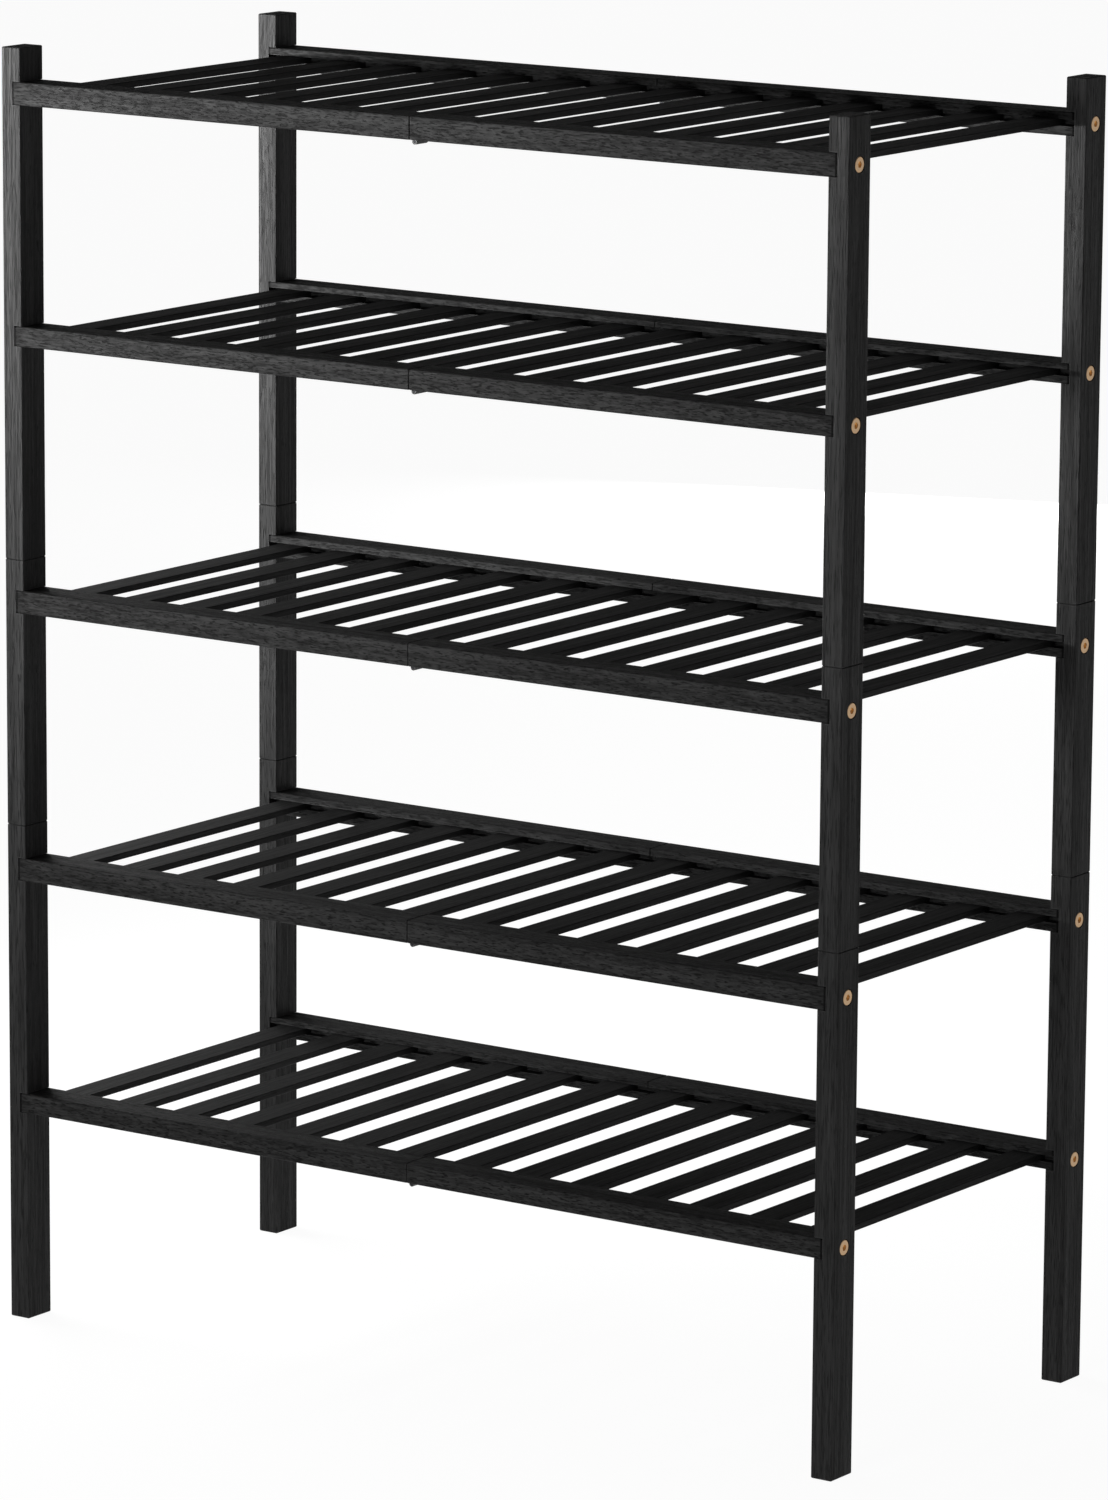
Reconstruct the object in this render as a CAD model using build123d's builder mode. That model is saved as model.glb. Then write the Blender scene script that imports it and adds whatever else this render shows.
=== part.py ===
"""Five-tier shoe rack: three stacking modules of bolted posts, grooved rails and slats.

Millimetres. The origin is on the floor at the middle of the footprint: +X runs along the
shelves, +Y to the back and +Z up. The front is the -Y side.
"""

from build123d import *

import os
from typing import NamedTuple

# Overall size
WIDTH = 690.0  # outside the posts, along the shelves
DEPTH = 315.0  # front of the front posts to back of the rear posts

# Posts: each is three lengths that stand on one another
POST_X = 16.0
POST_Y = 25.0
POST_ROUND = 0.8  # rounded long edges
POST_END_CHAMFER = 0.6

# Modules and their shelves. A shelf's height is that of its rails' undersides.
TWO_SHELF_HEIGHT = 355.0
ONE_SHELF_HEIGHT = 187.5
LOW_SHELF = 149.0  # above the module's foot
HIGH_SHELF_DROP = 39.5  # below the module's top
SINGLE_SHELF_DROP = 37.5
LOW_RAIL_HEIGHT = 14.0
HIGH_RAIL_HEIGHT = 16.0
LOW_RAIL_LIP = 4.0  # wood above the slats' groove
HIGH_RAIL_LIP = 5.0

# Rails: the ends are housed in the posts, and each is two halves hinged at the middle
HOUSING_DEPTH = 6.7  # how far a rail's end goes into its post
HOUSING_FIT = 0.2  # play above the rail in its housing
RAIL_THICKNESS = 25.0
RAIL_ROUND = 1.2
RAIL_END_CHAMFER = 0.5
SEAM_GAP = 0.4  # between the two halves
GROOVE_WALL = 1.25  # wood between the slats' groove and an insert nut's bore

# Slats
SLATS_PER_HALF = 7
SLAT_WIDTH = 22.2
SLAT_FROM_POST = 4.3  # open space between a post and the slat beside it
SLAT_THICKNESS = 4.5
SLAT_ROUND = 0.6
GROOVE_FIT = 0.1  # play above a slat in its groove
SLAT_END_PLAY = 0.5

# Furniture bolts and the insert nuts in the rail ends
BOLT_DIAMETER = 6.0
BOLT_CLEARANCE = 0.4
BOLT_LENGTH = 30.0
BOLT_HEAD_DIAMETER = 10.8
BOLT_HEAD_HEIGHT = 2.4
BOLT_HEAD_ROUND = 0.8
BOLT_HEAD_PLAY = 0.6
BOLT_HEAD_SINK = 0.2  # below the post's face
HEX_SOCKET = 4.0  # across flats
HEX_DEPTH = 1.6
INSERT_DIAMETER = 8.4
INSERT_LENGTH = 13.0
INSERT_FIT = 0.1
THREAD_FIT = 0.1

# Stacking dowels
DOWEL_DIAMETER = 8.0
DOWEL_LENGTH = 36.0
DOWEL_SEAT_FIT = 0.1  # on the diameter, in the lower post
DOWEL_SLIP_FIT = 0.2  # on the diameter, in the upper post
DOWEL_END_PLAY = 0.8
DOWEL_CHAMFER = 1.0

# Butt hinges let into the rails' undersides at the middle seam
HINGE_WIDTH = 12.6
LEAF_LENGTH = 16.0
LEAF_THICKNESS = 1.0
LEAF_FIT = 0.2
KNUCKLE_DIAMETER = 4.0
KNUCKLE_DROP = 1.6  # the pin's axis below the rail's underside
KNUCKLE_GAP = 0.15
KNUCKLE_RELIEF = 0.4
PIN_DIAMETER = 2.0
PIN_FIT = 0.1
SCREW_DIAMETER = 2.0
SCREW_HEAD_DIAMETER = 3.8
SCREW_LENGTH = 9.0
SCREW_FIT = 0.1
SCREW_EDGE = 3.6  # from either end of the leaf's plate
SCREW_STAGGER = 2.4  # from the hinge's middle line

# Values worked out from the ones above
POST_CENTRE_X = WIDTH / 2 - POST_X / 2
POST_CENTRE_Y = DEPTH / 2 - POST_Y / 2
RAIL_CENTRE_Y = DEPTH / 2 - RAIL_THICKNESS / 2
RAIL_INNER_Y = DEPTH / 2 - RAIL_THICKNESS
RAIL_OUTER_END = WIDTH / 2 - POST_X + HOUSING_DEPTH
GROOVE_DEPTH = RAIL_THICKNESS / 2 - (INSERT_DIAMETER + INSERT_FIT) / 2 - GROOVE_WALL
GROOVE_HEIGHT = SLAT_THICKNESS + GROOVE_FIT
SLAT_COUNT = 2 * SLATS_PER_HALF
SLAT_LENGTH = 2 * (RAIL_INNER_Y + GROOVE_DEPTH - SLAT_END_PLAY)
SLAT_PITCH = (WIDTH - 2 * (POST_X + SLAT_FROM_POST) - SLAT_WIDTH) / (SLAT_COUNT - 1)
PLATE_START = KNUCKLE_DIAMETER / 2 + KNUCKLE_RELIEF
MIDDLE_FOOT = TWO_SHELF_HEIGHT
TOP_FOOT = TWO_SHELF_HEIGHT + ONE_SHELF_HEIGHT


class Shelf(NamedTuple):
    underside: float  # of its rails
    rail_height: float
    lip: float

    @property
    def bolt_z(self):
        return self.underside + self.rail_height / 2

    @property
    def groove_floor(self):
        return self.underside + self.rail_height - self.lip - GROOVE_HEIGHT


def two_shelves(foot):
    low = Shelf(foot + LOW_SHELF, LOW_RAIL_HEIGHT, LOW_RAIL_LIP)
    high = Shelf(foot + TWO_SHELF_HEIGHT - HIGH_SHELF_DROP, HIGH_RAIL_HEIGHT, HIGH_RAIL_LIP)
    return [low, high]


def one_shelf(foot):
    return [Shelf(foot + ONE_SHELF_HEIGHT - SINGLE_SHELF_DROP, HIGH_RAIL_HEIGHT, HIGH_RAIL_LIP)]


# Each module's foot height, post length and shelves
MODULES = {
    "base": (0.0, TWO_SHELF_HEIGHT, two_shelves(0.0)),
    "middle": (MIDDLE_FOOT, ONE_SHELF_HEIGHT, one_shelf(MIDDLE_FOOT)),
    "top": (TOP_FOOT, TWO_SHELF_HEIGHT, two_shelves(TOP_FOOT)),
}
SIDES = {"left": -1, "right": 1}
ROWS = {"front": -1, "rear": 1}


def export(part, name):
    """Labels a finished piece and writes it as one STEP file."""
    part.label = name
    export_step(part, f"parts/{name}.step")


def outward(side, x, y, z):
    """Plane at a point with its normal along X, away from the rack's middle."""
    return Plane(origin=(x, y, z), x_dir=(0, 1, 0), z_dir=(side, 0, 0))


def upward(x, y, z):
    return Plane(origin=(x, y, z))


def downward(x, y, z):
    return Plane(origin=(x, y, z), z_dir=(0, 0, -1))


def rail_ends(shelves):
    """Each place where a rail is bolted to a post: its side, its row and its bolt's height."""
    corners = [(side, row) for side in SIDES.values() for row in ROWS.values()]
    return [(side, row, shelf.bolt_z) for shelf in shelves for side, row in corners]


def hinges(shelves):
    """Each hinge's place: its row and its rail's underside."""
    return [(row, shelf.underside) for shelf in shelves for row in ROWS.values()]


def screw_places(side, row):
    """Plan positions of one leaf's two screws, staggered about the hinge's middle line."""
    near = side * (PLATE_START + SCREW_EDGE)
    far = side * (LEAF_LENGTH - SCREW_EDGE)
    y = row * RAIL_CENTRE_Y
    return [(near, y - SCREW_STAGGER), (far, y + SCREW_STAGGER)]


def make_post(module, side, row):
    """One post length, with a housing and a counterbored bolt hole for each shelf."""
    foot, length, shelves = MODULES[module]
    x = side * POST_CENTRE_X
    y = row * POST_CENTRE_Y
    rail_y = row * RAIL_CENTRE_Y
    outer_face = side * WIDTH / 2
    housing_x = side * (RAIL_OUTER_END - HOUSING_DEPTH / 2)
    with BuildPart() as post:
        with BuildSketch(Plane.XY.offset(foot)):
            with Locations((x, y)):
                RectangleRounded(POST_X, POST_Y, POST_ROUND)
        extrude(amount=length)
        chamfer(post.faces().filter_by(Axis.Z).edges(), POST_END_CHAMFER)
        for shelf in shelves:
            housing = shelf.rail_height + HOUSING_FIT
            with Locations((housing_x, rail_y, shelf.underside + housing / 2)):
                Box(HOUSING_DEPTH, RAIL_THICKNESS, housing, mode=Mode.SUBTRACT)
            with Locations(outward(side, outer_face, rail_y, shelf.bolt_z)):
                CounterBoreHole(
                    radius=(BOLT_DIAMETER + BOLT_CLEARANCE) / 2,
                    counter_bore_radius=(BOLT_HEAD_DIAMETER + BOLT_HEAD_PLAY) / 2,
                    counter_bore_depth=BOLT_HEAD_HEIGHT + BOLT_HEAD_SINK,
                    depth=POST_X,
                )
        if module != "top":
            with Locations(upward(x, y, foot + length)):
                Hole((DOWEL_DIAMETER + DOWEL_SEAT_FIT) / 2, depth=DOWEL_LENGTH / 2)
        if module != "base":
            with Locations(downward(x, y, foot)):
                Hole((DOWEL_DIAMETER + DOWEL_SLIP_FIT) / 2, depth=DOWEL_LENGTH / 2 + DOWEL_END_PLAY)
    return post.part


def make_half_rail(shelf, side, row):
    """Half of a rail: grooved for the slats, bored for its insert, let in for its hinge leaf."""
    y = row * RAIL_CENTRE_Y
    groove_y = row * (RAIL_INNER_Y + GROOVE_DEPTH / 2)
    head_depth = BOLT_HEAD_HEIGHT + BOLT_HEAD_SINK
    bolt_reach = BOLT_LENGTH - (POST_X - HOUSING_DEPTH - head_depth)
    mortise = LEAF_LENGTH + LEAF_FIT
    with BuildPart() as rail:
        with BuildSketch(outward(side, side * SEAM_GAP / 2, y, shelf.bolt_z)):
            RectangleRounded(RAIL_THICKNESS, shelf.rail_height, RAIL_ROUND)
        extrude(amount=RAIL_OUTER_END - SEAM_GAP / 2)
        chamfer(rail.faces().filter_by(Axis.X).edges(), RAIL_END_CHAMFER)
        with Locations((side * RAIL_OUTER_END / 2, groove_y, shelf.groove_floor + GROOVE_HEIGHT / 2)):
            Box(RAIL_OUTER_END, GROOVE_DEPTH, GROOVE_HEIGHT, mode=Mode.SUBTRACT)
        with Locations(outward(side, side * RAIL_OUTER_END, y, shelf.bolt_z)):
            Hole((INSERT_DIAMETER + INSERT_FIT) / 2, depth=INSERT_LENGTH)
            Hole((BOLT_DIAMETER + BOLT_CLEARANCE) / 2, depth=bolt_reach + BOLT_CLEARANCE)
        with Locations((side * mortise / 2, y, shelf.underside + LEAF_THICKNESS / 2)):
            Box(mortise, HINGE_WIDTH + LEAF_FIT, LEAF_THICKNESS, mode=Mode.SUBTRACT)
        for screw_x, screw_y in screw_places(side, row):
            with Locations(downward(screw_x, screw_y, shelf.underside)):
                Hole((SCREW_DIAMETER + SCREW_FIT) / 2, depth=SCREW_LENGTH + SCREW_FIT)
    return rail.part


def make_slats(shelf):
    """All the slats of one shelf, each a solid of its own, lying in the rails' grooves."""
    with BuildPart() as slats:
        with BuildSketch(Plane.XZ.offset(-SLAT_LENGTH / 2)):
            with Locations((0, shelf.groove_floor + SLAT_THICKNESS / 2)):
                with GridLocations(SLAT_PITCH, 0, SLAT_COUNT, 1):
                    RectangleRounded(SLAT_WIDTH, SLAT_THICKNESS, SLAT_ROUND)
        extrude(amount=SLAT_LENGTH)
    return slats.part


def make_bolts(shelves):
    """Flat-headed furniture bolts with hex sockets, one at each rail end."""
    with BuildPart() as bolts:
        for side, row, z in rail_ends(shelves):
            crown = outward(side, side * (WIDTH / 2 - BOLT_HEAD_SINK), row * RAIL_CENTRE_Y, z)
            under_head = crown.offset(-BOLT_HEAD_HEIGHT)
            with BuildSketch(under_head):
                Circle(BOLT_HEAD_DIAMETER / 2)
            head = extrude(amount=BOLT_HEAD_HEIGHT)
            crown_face = head.faces().sort_by(Axis.X)[-1 if side > 0 else 0]
            fillet(crown_face.edges(), BOLT_HEAD_ROUND)
            with BuildSketch(under_head):
                Circle(BOLT_DIAMETER / 2)
            extrude(amount=-BOLT_LENGTH)
            with BuildSketch(crown):
                RegularPolygon(HEX_SOCKET / 2, 6, major_radius=False)
            extrude(amount=-HEX_DEPTH, mode=Mode.SUBTRACT)
    return bolts.part


def make_inserts(shelves):
    """Threaded insert nuts, flush in the rails' outer ends."""
    with BuildPart() as inserts:
        for side, row, z in rail_ends(shelves):
            with BuildSketch(outward(side, side * RAIL_OUTER_END, row * RAIL_CENTRE_Y, z)):
                Circle(INSERT_DIAMETER / 2)
                Circle((BOLT_DIAMETER + THREAD_FIT) / 2, mode=Mode.SUBTRACT)
            extrude(amount=-INSERT_LENGTH)
    return inserts.part


def make_dowels(seam_height):
    """The four dowels that locate one module on the next, seated in the lower posts."""
    with BuildPart() as dowels:
        with BuildSketch(Plane.XY.offset(seam_height - DOWEL_LENGTH / 2)):
            with GridLocations(2 * POST_CENTRE_X, 2 * POST_CENTRE_Y, 2, 2):
                Circle(DOWEL_DIAMETER / 2)
        extrude(amount=DOWEL_LENGTH)
        chamfer(dowels.faces().filter_by(Axis.Z).edges(), DOWEL_CHAMFER)
    return dowels.part


def knuckle_spans(side):
    """Where one leaf's knuckles lie along the hinge: two outer ones, or the middle one."""
    half = HINGE_WIDTH / 2
    sixth = HINGE_WIDTH / 6
    if side > 0:
        return [(-sixth, sixth)]
    return [(-half, -sixth - KNUCKLE_GAP), (sixth + KNUCKLE_GAP, half)]


def make_leaves(shelves, side):
    """The hinge leaves of one side, front and rear, on every shelf of a module."""
    plate_length = LEAF_LENGTH - PLATE_START
    with BuildPart() as leaves:
        for row, underside in hinges(shelves):
            y = row * RAIL_CENTRE_Y
            plate_z = underside + LEAF_THICKNESS / 2
            with Locations((side * (PLATE_START + plate_length / 2), y, plate_z)):
                Box(plate_length, HINGE_WIDTH, LEAF_THICKNESS)
            for low, high in knuckle_spans(side):
                with Locations((side * PLATE_START / 2, y + (low + high) / 2, plate_z)):
                    Box(PLATE_START, high - low, LEAF_THICKNESS)
                knuckle_end = Plane(origin=(0, y + low, underside - KNUCKLE_DROP), z_dir=(0, -1, 0))
                with BuildSketch(knuckle_end):
                    Circle(KNUCKLE_DIAMETER / 2)
                extrude(amount=low - high)
                with Locations(knuckle_end):
                    Hole((PIN_DIAMETER + PIN_FIT) / 2, depth=high - low)
            for x, screw_y in screw_places(side, row):
                with Locations(downward(x, screw_y, underside)):
                    CounterSinkHole(
                        radius=(SCREW_DIAMETER + SCREW_FIT) / 2,
                        counter_sink_radius=(SCREW_HEAD_DIAMETER + SCREW_FIT) / 2,
                        depth=LEAF_THICKNESS,
                        counter_sink_angle=90,
                    )
    return leaves.part


def make_pins(shelves):
    """Hinge pins, one through the knuckles of each hinge."""
    with BuildPart() as pins:
        for row, underside in hinges(shelves):
            with Locations((0, row * RAIL_CENTRE_Y, underside - KNUCKLE_DROP)):
                Cylinder(PIN_DIAMETER / 2, HINGE_WIDTH, rotation=(90, 0, 0))
    return pins.part


def make_screws(shelves):
    """Countersunk screws through the hinge leaves, heads flush with the leaves."""
    head_height = (SCREW_HEAD_DIAMETER - SCREW_DIAMETER) / 2
    with BuildPart() as screws:
        for row, underside in hinges(shelves):
            for side in SIDES.values():
                for x, y in screw_places(side, row):
                    with Locations((x, y, underside + head_height / 2)):
                        Cone(SCREW_HEAD_DIAMETER / 2, SCREW_DIAMETER / 2, head_height)
                    with Locations((x, y, underside + SCREW_LENGTH / 2)):
                        Cylinder(SCREW_DIAMETER / 2, SCREW_LENGTH)
    return screws.part


os.makedirs("parts", exist_ok=True)

shelf_number = 0
for module, (_, _, shelves) in MODULES.items():
    for side_name, side in SIDES.items():
        for row_name, row in ROWS.items():
            export(make_post(module, side, row), f"{row_name}_{side_name}_post_{module}")
        export(make_leaves(shelves, side), f"hinge_leaves_{side_name}_{module}")
    export(make_bolts(shelves), f"furniture_bolts_{module}")
    export(make_inserts(shelves), f"insert_nuts_{module}")
    export(make_pins(shelves), f"hinge_pins_{module}")
    export(make_screws(shelves), f"hinge_screws_{module}")
    for shelf in shelves:
        shelf_number += 1
        export(make_slats(shelf), f"shelf_{shelf_number}_slats")
        for row_name, row in ROWS.items():
            for side_name, side in SIDES.items():
                rail = make_half_rail(shelf, side, row)
                export(rail, f"shelf_{shelf_number}_{row_name}_rail_{side_name}")

export(make_dowels(MIDDLE_FOOT), "stacking_dowels_base")
export(make_dowels(TOP_FOOT), "stacking_dowels_middle")
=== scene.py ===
"""Looks for a tiered shoe rack of black-stained wood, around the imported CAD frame. Metres, +Z up."""

import math

import bmesh
import bpy
from mathutils import Euler, Matrix, Vector


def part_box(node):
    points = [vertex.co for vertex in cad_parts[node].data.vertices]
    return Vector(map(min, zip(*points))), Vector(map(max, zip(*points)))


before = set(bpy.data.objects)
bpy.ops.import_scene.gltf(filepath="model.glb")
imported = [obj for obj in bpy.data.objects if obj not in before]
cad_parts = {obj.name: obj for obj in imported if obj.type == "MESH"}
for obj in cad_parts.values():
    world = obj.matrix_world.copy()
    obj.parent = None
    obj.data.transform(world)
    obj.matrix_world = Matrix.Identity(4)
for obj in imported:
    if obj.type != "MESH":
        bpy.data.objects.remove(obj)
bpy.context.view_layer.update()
MM = 0.001

RAIL_END = -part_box("shelf_1_front_rail_left")[0].x  # how far the rails' outer ends are from the middle
BOLT_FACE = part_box("furniture_bolts_base")[1].x  # and the faces of the bolt heads

# ---------------------------------------------------------------- colour and node helpers


def linear(hex_colour):
    """An sRGB hex colour as linear RGBA."""
    channels = [int(hex_colour[i : i + 2], 16) / 255 for i in (1, 3, 5)]
    return (*[c / 12.92 if c <= 0.04045 else ((c + 0.055) / 1.055) ** 2.4 for c in channels], 1.0)


def add(tree, kind, inputs=None, stops=(), **settings):
    """Adds a node with its settings and links.

    An input that is a socket is linked, and any other value is set. stops are a colour ramp's
    (position, value) pairs, where a value is a plain number or a linear colour.
    """
    node = tree.nodes.new(kind)
    for name, value in settings.items():
        setattr(node, name, value)
    for name, value in (inputs or {}).items():
        if isinstance(value, bpy.types.NodeSocket):
            tree.links.new(value, node.inputs[name])
        else:
            node.inputs[name].default_value = value
    for _ in stops[2:]:
        node.color_ramp.elements.new(0.5)
    for number, (position, value) in enumerate(stops):
        element = node.color_ramp.elements[number]
        element.position = position
        element.color = value if isinstance(value, tuple) else (value, value, value, 1.0)
    return node


def object_place(tree):
    """A point's place on the rack in metres, which moves with its piece."""
    return add(tree, "ShaderNodeTexCoord").outputs["Object"]


def distance_out(tree):
    """How far a point is from the rack's middle plane, to the left or to the right."""
    x = add(tree, "ShaderNodeSeparateXYZ", {"Vector": object_place(tree)}).outputs["X"]
    return add(tree, "ShaderNodeMath", {0: x}, operation="ABSOLUTE").outputs["Value"]


def new_material(name):
    """An empty node material, its tree and its Principled shader."""
    material = bpy.data.materials.new(name)
    material.use_nodes = True
    tree = material.node_tree
    tree.nodes.clear()
    shader = add(tree, "ShaderNodeBsdfPrincipled")
    add(tree, "ShaderNodeOutputMaterial", {"Surface": shader.outputs["BSDF"]})
    return material, tree, shader


def tint(material, factor, colour):
    """Blends a colour into a material's own colour, by a factor from 0 to 1."""
    tree = material.node_tree
    socket = next(node for node in tree.nodes if node.type == "BSDF_PRINCIPLED").inputs["Base Color"]
    own = socket.links[0].from_socket
    blend = add(tree, "ShaderNodeMix", {0: factor, 6: own, 7: colour}, data_type="RGBA")
    tree.links.new(blend.outputs[2], socket)


# ---------------------------------------------------------------- wood

STAIN_PORE = linear("#101010")  # stain pooled in an open pore
STAIN_WORN = linear("#4a4a4a")  # stain rubbed thin on an edge
SEAM_PAINTED_SHADE = linear("#020202")  # painted shade: near black, where a rail's end sits in its post
WORN_EDGE = 1.4 * MM  # how far the stain is rubbed thin on either side of an edge
SEAM_WIDTH = 1.5 * MM  # the width of the painted shade line at a rail's end, in its housing
SEAM_SHADE = 12 * MM  # and how far from the end the painted shade starts to fade in
GROWTH_RING = (7 * MM, 220 * MM)  # the broad light and dark bands of the growth rings


def across(tree, axis, width, length, seed, detail=2.0):
    """Noise stretched along the grain: width across it and length along it."""
    scale = [1 / width] * 3
    scale["XYZ".index(axis)] = 1 / length
    mapping = {"Vector": object_place(tree), "Location": (seed, seed, seed), "Scale": scale}
    place = add(tree, "ShaderNodeMapping", mapping).outputs["Vector"]
    noise = {"Vector": place, "Scale": 1.0, "Detail": detail, "Roughness": 0.6}
    return add(tree, "ShaderNodeTexNoise", noise).outputs["Fac"]


def rubbed_edge(tree):
    """1 where a face meets an edge, fading to 0 on the flat."""
    flat = add(tree, "ShaderNodeNewGeometry").outputs["True Normal"]
    eased = add(tree, "ShaderNodeBevel", {"Radius": WORN_EDGE}, samples=6).outputs["Normal"]
    turned = add(tree, "ShaderNodeVectorMath", {0: flat, 1: eased}, operation="DOT_PRODUCT")
    fade = {"Fac": turned.outputs["Value"]}
    return add(tree, "ShaderNodeValToRGB", fade, stops=[(0.80, 1.0), (0.995, 0.0)]).outputs["Color"]


def stained_wood(name, axis, stain, fibre, pore, relief, gloss):
    """Black-stained wood with its grain along an axis.

    stain is the colour between the fibres and on them, fibre and pore are each a width and a length,
    relief is the depth of the grain, and gloss is the lacquer's specular level.
    """
    material, tree, shader = new_material(name)
    fibres = across(tree, axis, *fibre, seed=1.7, detail=3.0)
    bands = across(tree, axis, *GROWTH_RING, seed=5.1)
    pores = across(tree, axis, *pore, seed=9.3, detail=1.0)

    faint_bands = add(tree, "ShaderNodeMath", {0: bands, 1: 0.4}, operation="MULTIPLY").outputs["Value"]
    fibres_on_bands = {0: fibres, 1: 0.6, 2: faint_bands}
    grain = add(tree, "ShaderNodeMath", fibres_on_bands, operation="MULTIPLY_ADD").outputs["Value"]
    closed = add(tree, "ShaderNodeValToRGB", {"Fac": pores}, stops=[(0.34, 0.0), (0.46, 1.0)])

    body, raised = [linear(colour) for colour in stain]
    shade = add(tree, "ShaderNodeValToRGB", {"Fac": grain}, stops=[(0.40, body), (0.62, raised)])
    pored = {0: closed.outputs["Color"], 6: STAIN_PORE, 7: shade.outputs["Color"]}
    pored_colour = add(tree, "ShaderNodeMix", pored, data_type="RGBA").outputs[2]
    rub = add(tree, "ShaderNodeMath", {0: rubbed_edge(tree), 1: grain}, operation="MULTIPLY")
    worn = {0: rub.outputs["Value"], 6: pored_colour, 7: STAIN_WORN}
    colour = add(tree, "ShaderNodeMix", worn, data_type="RGBA").outputs[2]
    tree.links.new(colour, shader.inputs["Base Color"])

    roughness = add(tree, "ShaderNodeValToRGB", {"Fac": grain}, stops=[(0.35, 0.68), (0.65, 0.5)])
    tree.links.new(roughness.outputs["Color"], shader.inputs["Roughness"])

    pores_in_grain = {0: closed.outputs["Color"], 1: 0.35, 2: grain}
    height = add(tree, "ShaderNodeMath", pores_in_grain, operation="MULTIPLY_ADD").outputs["Value"]
    bump = add(tree, "ShaderNodeBump", {"Height": height, "Strength": 1.0, "Distance": relief})
    tree.links.new(bump.outputs["Normal"], shader.inputs["Normal"])
    shader.inputs["Specular IOR Level"].default_value = gloss
    return material


# Black-stained, open-grained hardwood under a thin matt lacquer. The colour hardly changes across the
# grain, and what shows is the relief: raised fibres catch a raking light and open pores stay dark.
# Real pores are about 0.3 mm wide and 0.1 mm deep. They are drawn coarser and deeper, so that they show.
# The posts are planed along the grain, so their streaks are long.
POST_WOOD = stained_wood(
    "black_stained_wood_posts",
    axis="Z",
    stain=("#212121", "#2f2f2f"),
    fibre=(1.8 * MM, 60 * MM),
    pore=(0.8 * MM, 14 * MM),
    relief=0.9 * MM,
    gloss=0.12,
)

# The rails are the same wood left rougher from the saw: short flecks that mottle their faces.
# Their raised stain is lighter than the posts': partly the rails' real mottle, partly painted light that
# brightens their fronts.
RAIL_WOOD = stained_wood(
    "black_stained_wood_rails",
    axis="X",
    stain=("#1f1f1f", "#383838"),
    fibre=(1.3 * MM, 9 * MM),
    pore=(0.9 * MM, 5 * MM),
    relief=0.5 * MM,
    gloss=0.06,
)


def paint_shade_at_rail_ends():
    """Paints shade into a rail's colour at its outer end, where it sits in its post: a dark line and a
    fade.
    """
    tree = RAIL_WOOD.node_tree
    along = {"Value": distance_out(tree), "From Min": RAIL_END - SEAM_SHADE, "From Max": RAIL_END}
    near = add(tree, "ShaderNodeMapRange", along).outputs["Result"]
    seam = 1 - SEAM_WIDTH / SEAM_SHADE
    painted_seam_shade = add(
        tree, "ShaderNodeValToRGB", {"Fac": near}, stops=[(0.0, 0.0), (seam - 0.03, 0.3), (seam, 1.0)]
    )
    tint(RAIL_WOOD, painted_seam_shade.outputs["Color"], SEAM_PAINTED_SHADE)


paint_shade_at_rail_ends()

# The slats are thin planed strips, almost smooth, so light runs over them in an even gradient.
SLAT_WOOD = stained_wood(
    "black_stained_wood_slats",
    axis="Y",
    stain=("#1d1d1d", "#262626"),
    fibre=(1.3 * MM, 50 * MM),
    pore=(0.8 * MM, 12 * MM),
    relief=0.08 * MM,
    gloss=0.08,
)


def raw_beech():
    """Raw turned beech dowels: pale straw brown with darker flecks along the grain, no finish."""
    material, tree, shader = new_material("raw_beech")
    flecks = across(tree, "Z", 0.6 * MM, 4 * MM, seed=3.3)
    straw = [(0.4, linear("#a9825a")), (0.6, linear("#cba77c"))]
    colour = add(tree, "ShaderNodeValToRGB", {"Fac": flecks}, stops=straw)
    tree.links.new(colour.outputs["Color"], shader.inputs["Base Color"])
    shader.inputs["Roughness"].default_value = 0.7
    return material


BEECH = raw_beech()


# ---------------------------------------------------------------- metal

WEAR_PATCH = 1.5 * MM  # coarser than a plating's real grain, so that it shows
LACQUER_PEEL = 0.8 * MM  # the size of the ripples in a lacquered surface
SOCKET_TOP = 0.3 * MM  # below the bolt head's face, where the painted light in the socket starts
SOCKET_DEEP = 0.8 * MM  # and where it is full


def plain_metal(name, colour, roughness):
    """A metal whose finish is a little duller and darker in small random patches."""
    material, tree, shader = new_material(name)
    patches = {"Vector": object_place(tree), "Scale": 1 / WEAR_PATCH, "Detail": 3.0}
    wear = add(tree, "ShaderNodeTexNoise", patches).outputs["Fac"]
    dull = tuple(0.8 * channel for channel in colour[:3]) + (1.0,)
    shade = add(tree, "ShaderNodeValToRGB", {"Fac": wear}, stops=[(0.3, dull), (0.7, colour)])
    tree.links.new(shade.outputs["Color"], shader.inputs["Base Color"])
    finish = [(0.3, roughness - 0.06), (0.7, roughness + 0.08)]
    gloss = add(tree, "ShaderNodeValToRGB", {"Fac": wear}, stops=finish)
    tree.links.new(gloss.outputs["Color"], shader.inputs["Roughness"])
    shader.inputs["Metallic"].default_value = 1.0
    return material


def bronze_plate():
    """Bronze-plated steel: a soft brown-gold sheen, with a lighter gold painted down in the socket as
    painted light against its shade.
    """
    material = plain_metal("bronze_plated_steel", linear("#c8a884"), 0.45)
    tree = material.node_tree
    inwards = {
        "Value": distance_out(tree),
        "From Min": BOLT_FACE - SOCKET_TOP,
        "From Max": BOLT_FACE - SOCKET_DEEP,
    }
    depth = add(tree, "ShaderNodeMapRange", inwards).outputs["Result"]
    # Painted light: deeper in the socket the colour turns a lighter gold, so that the socket's shade
    # doesn't go dark.
    tint(material, depth, linear("#f4d2a0"))
    return material


BRONZE = bronze_plate()

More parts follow.
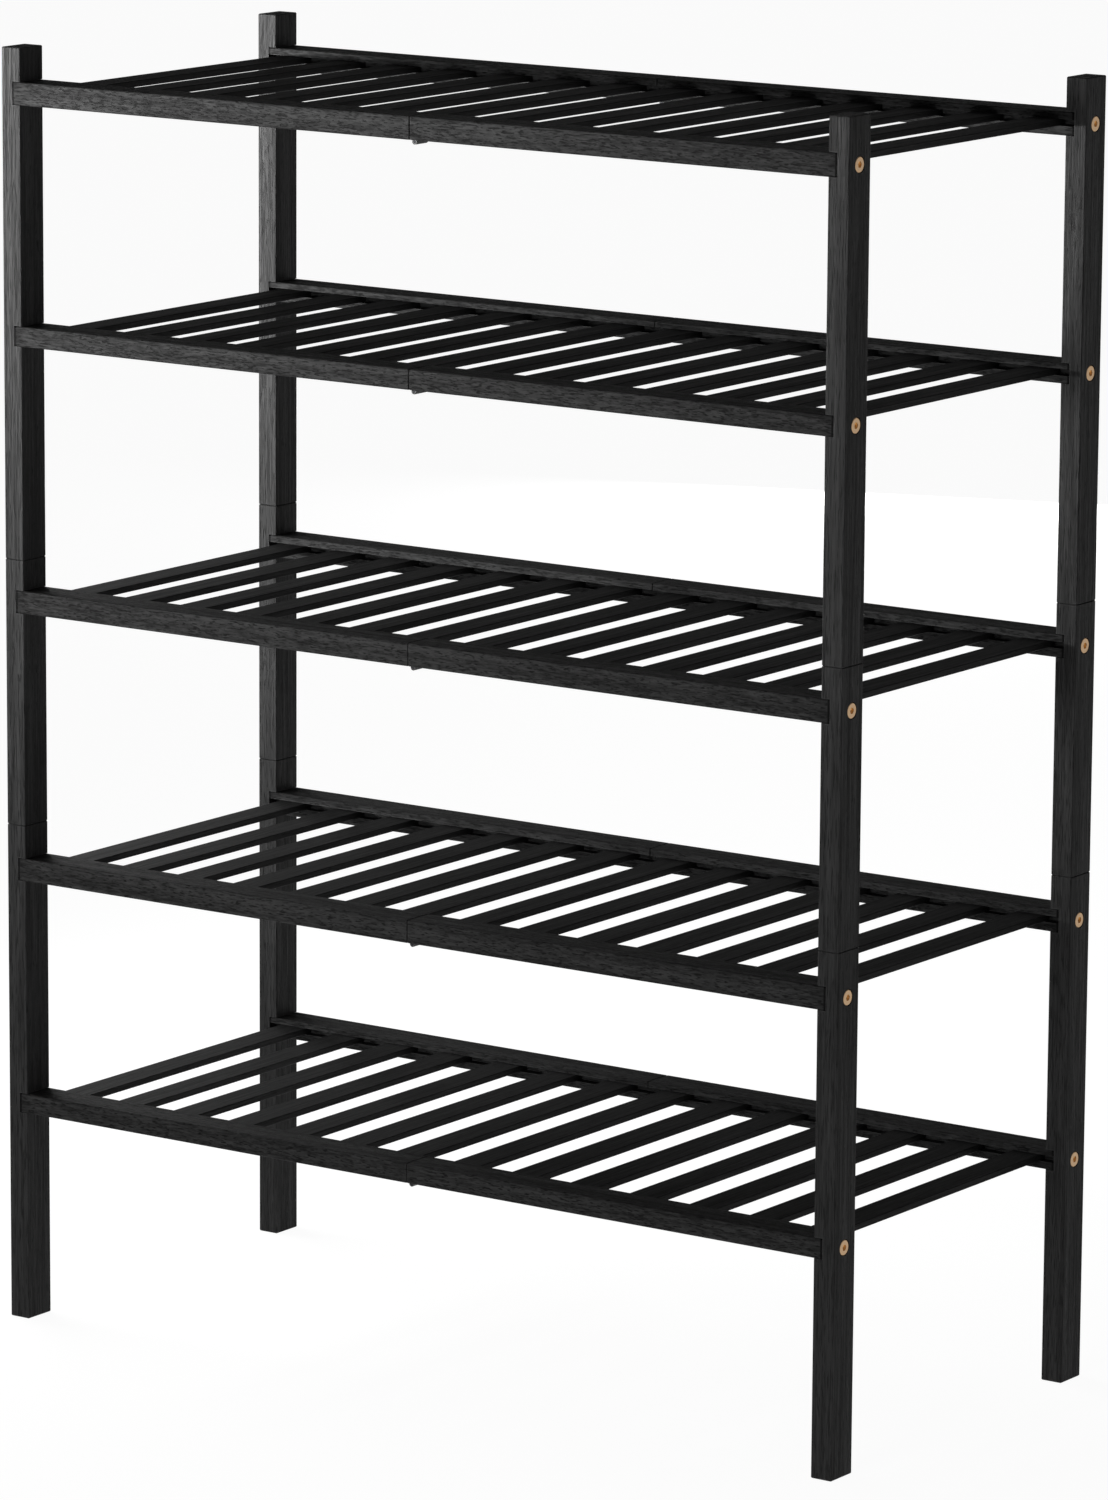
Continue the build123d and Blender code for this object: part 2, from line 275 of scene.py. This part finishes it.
# Zinc-plated steel inserts: a cool, fairly bright grey.
ZINC = plain_metal("zinc_plated_steel", linear("#b9bcc2"), 0.3)

# Blackened steel hinge pins: a dark grey sheen, so that their ends hardly show in the knuckles.
PIN_STEEL = plain_metal("blackened_steel", linear("#2c2c2e"), 0.45)


def black_lacquer():
    """Black lacquer on steel leaves and screws: no metal shows, only a soft satin gloss."""
    material, tree, shader = new_material("black_lacquered_steel")
    ripples = {"Vector": object_place(tree), "Scale": 1 / LACQUER_PEEL}
    peel = add(tree, "ShaderNodeTexNoise", ripples).outputs["Fac"]
    satin = add(tree, "ShaderNodeValToRGB", {"Fac": peel}, stops=[(0.3, 0.40), (0.7, 0.50)])
    tree.links.new(satin.outputs["Color"], shader.inputs["Roughness"])
    shader.inputs["Base Color"].default_value = linear("#1a1a1a")
    return material


BLACK_STEEL = black_lacquer()


# ---------------------------------------------------------------- materials on the pieces


def finish_node(name, material):
    """Gives a CAD node its material."""
    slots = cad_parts[name].data.materials
    slots.clear()
    slots.append(material)


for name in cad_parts:
    if "_post_" in name:
        finish_node(name, POST_WOOD)
    elif "_rail_" in name:
        finish_node(name, RAIL_WOOD)
    elif name.endswith("_slats"):
        finish_node(name, SLAT_WOOD)
    elif name.startswith("furniture_bolts"):
        finish_node(name, BRONZE)
    elif name.startswith("insert_nuts"):
        finish_node(name, ZINC)
    elif name.startswith("hinge_pins"):
        finish_node(name, PIN_STEEL)
    elif name.startswith("stacking_dowels"):
        finish_node(name, BEECH)
    else:
        finish_node(name, BLACK_STEEL)


# ---------------------------------------------------------------- camera

CAMERA_AZIMUTH = 34.935  # degrees
CAMERA_ELEVATION = 11.209
CAMERA_ROLL = 0.375
CAMERA_PLACE = Vector((2.9307, -4.1817, 1.4352))
SENSOR = 36.0  # millimetres, as the lens
LENS = 181.87
FAR_LIMIT = 100.0


def make_camera():
    """The camera, in front of the rack and to its right. It looks a little down and has no shift."""
    data = bpy.data.cameras.new("camera")
    data.sensor_width = SENSOR
    data.lens = LENS
    data.clip_end = FAR_LIMIT
    camera = bpy.data.objects.new("camera", data)
    camera.location = CAMERA_PLACE
    turn = Euler((math.radians(90 - CAMERA_ELEVATION), 0, math.radians(CAMERA_AZIMUTH))).to_matrix()
    roll = Matrix.Rotation(math.radians(CAMERA_ROLL), 3, "Z")
    camera.rotation_euler = (turn @ roll).to_euler()
    bpy.context.scene.collection.objects.link(camera)
    bpy.context.scene.camera = camera


# ---------------------------------------------------------------- studio

WHITE = (1.0, 1.0, 1.0, 1.0)
COVE_TOP = 0.0  # the white cove is full up to the horizon, as the sine of a height angle
CEILING_START = 0.12  # and from here up the ceiling is dark
CEILING = 0.12
AMBIENT = 0.4  # the cove's strength as soft light on the rack, where 1 is how it looks
FLOOR_HALF = 30.0  # half the floor's width
FLOOR_GLOW = 1.12
FLOOR_GLOW_SHARE = 0.85  # of what the eye sees of the floor. The rest is lit and keeps the shadow


def seen_directly(tree):
    """1 for rays from the camera and for mirror and glass rays, 0 for diffuse light."""
    path = add(tree, "ShaderNodeLightPath").outputs
    eye = {0: path["Is Camera Ray"], 1: path["Is Glossy Ray"]}
    eye_or_mirror = add(tree, "ShaderNodeMath", eye, operation="MAXIMUM").outputs["Value"]
    either = {0: eye_or_mirror, 1: path["Is Transmission Ray"]}
    return add(tree, "ShaderNodeMath", either, operation="MAXIMUM").outputs["Value"]


def make_world():
    """A white cove all round, under a dark ceiling that leaves the shelves' tops dark."""
    world = bpy.data.worlds.new("studio")
    world.use_nodes = True
    bpy.context.scene.world = world
    tree = world.node_tree
    tree.nodes.clear()
    direction = add(tree, "ShaderNodeTexCoord").outputs["Generated"]
    height = add(tree, "ShaderNodeSeparateXYZ", {"Vector": direction}).outputs["Z"]
    shading = [(COVE_TOP, 1.0), (CEILING_START, CEILING)]
    cove = add(tree, "ShaderNodeValToRGB", {"Fac": height}, stops=shading).outputs["Color"]
    level = {"Value": seen_directly(tree), "To Min": AMBIENT, "To Max": 1.0}
    strength = add(tree, "ShaderNodeMapRange", level).outputs["Result"]
    background = add(tree, "ShaderNodeBackground", {"Color": cove, "Strength": strength})
    add(tree, "ShaderNodeOutputWorld", {"Surface": background.outputs["Background"]})


def make_floor():
    """A plain matt white floor that shows as white where no shadow falls."""
    mesh = bpy.data.meshes.new("floor")
    shape = bmesh.new()
    bmesh.ops.create_grid(shape, x_segments=1, y_segments=1, size=FLOOR_HALF)
    shape.to_mesh(mesh)
    shape.free()
    floor = bpy.data.objects.new("floor", mesh)
    bpy.context.scene.collection.objects.link(floor)
    material, tree, shader = new_material("matt_white_floor")
    shader.inputs["Base Color"].default_value = linear("#f2f2f2")
    shader.inputs["Roughness"].default_value = 0.9
    shader.inputs["Specular IOR Level"].default_value = 0.0
    glow = add(tree, "ShaderNodeEmission", {"Color": WHITE, "Strength": FLOOR_GLOW}).outputs["Emission"]
    seen = {0: seen_directly(tree), 1: FLOOR_GLOW_SHARE}
    share = add(tree, "ShaderNodeMath", seen, operation="MULTIPLY").outputs["Value"]
    surface = add(tree, "ShaderNodeMixShader", {0: share, 1: shader.outputs["BSDF"], 2: glow})
    output = next(node for node in tree.nodes if node.type == "OUTPUT_MATERIAL")
    tree.links.new(surface.outputs["Shader"], output.inputs["Surface"])
    mesh.materials.append(material)


def softbox(name, place, aim, size, power, spread=180):
    """A soft lamp that isn't seen itself. spread is its beam's width in degrees."""
    data = bpy.data.lights.new(name, "AREA")
    data.shape = "RECTANGLE"
    data.size, data.size_y = size
    data.energy = power
    data.spread = math.radians(spread)
    lamp = bpy.data.objects.new(name, data)
    lamp.location = place
    lamp.rotation_euler = Vector(aim).to_track_quat("-Z", "Y").to_euler()
    lamp.visible_camera = False
    bpy.context.scene.collection.objects.link(lamp)


make_camera()
make_world()
make_floor()

# The key comes low from the left, so that it rakes the fronts and rises towards the rear left posts.
softbox("key", place=(-2.2, -1.4, 0.74), aim=(0.51, 0.77, 0.35), size=(0.6, 0.3), power=90, spread=80)

# A strip beside the rack runs along the slats' tops and fades to the right.
softbox("side", place=(-1.15, 0.25, 0.68), aim=(1.0, 0.0, -0.45), size=(0.9, 0.2), power=6, spread=140)

# A broad fill from the front keeps the low fronts from going black.
softbox("fill", place=(0.3, -3.6, 0.4), aim=(-0.1, 1.0, 0.0), size=(1.5, 1.0), power=62)

# A low strip behind shows the back. It is under the lowest shelf, so it reaches no top.
softbox("rear", place=(-1.4, 3.4, 0.08), aim=(0.35, -1.0, 0.0), size=(1.2, 0.1), power=36)

bpy.context.scene.view_settings.view_transform = "Standard"
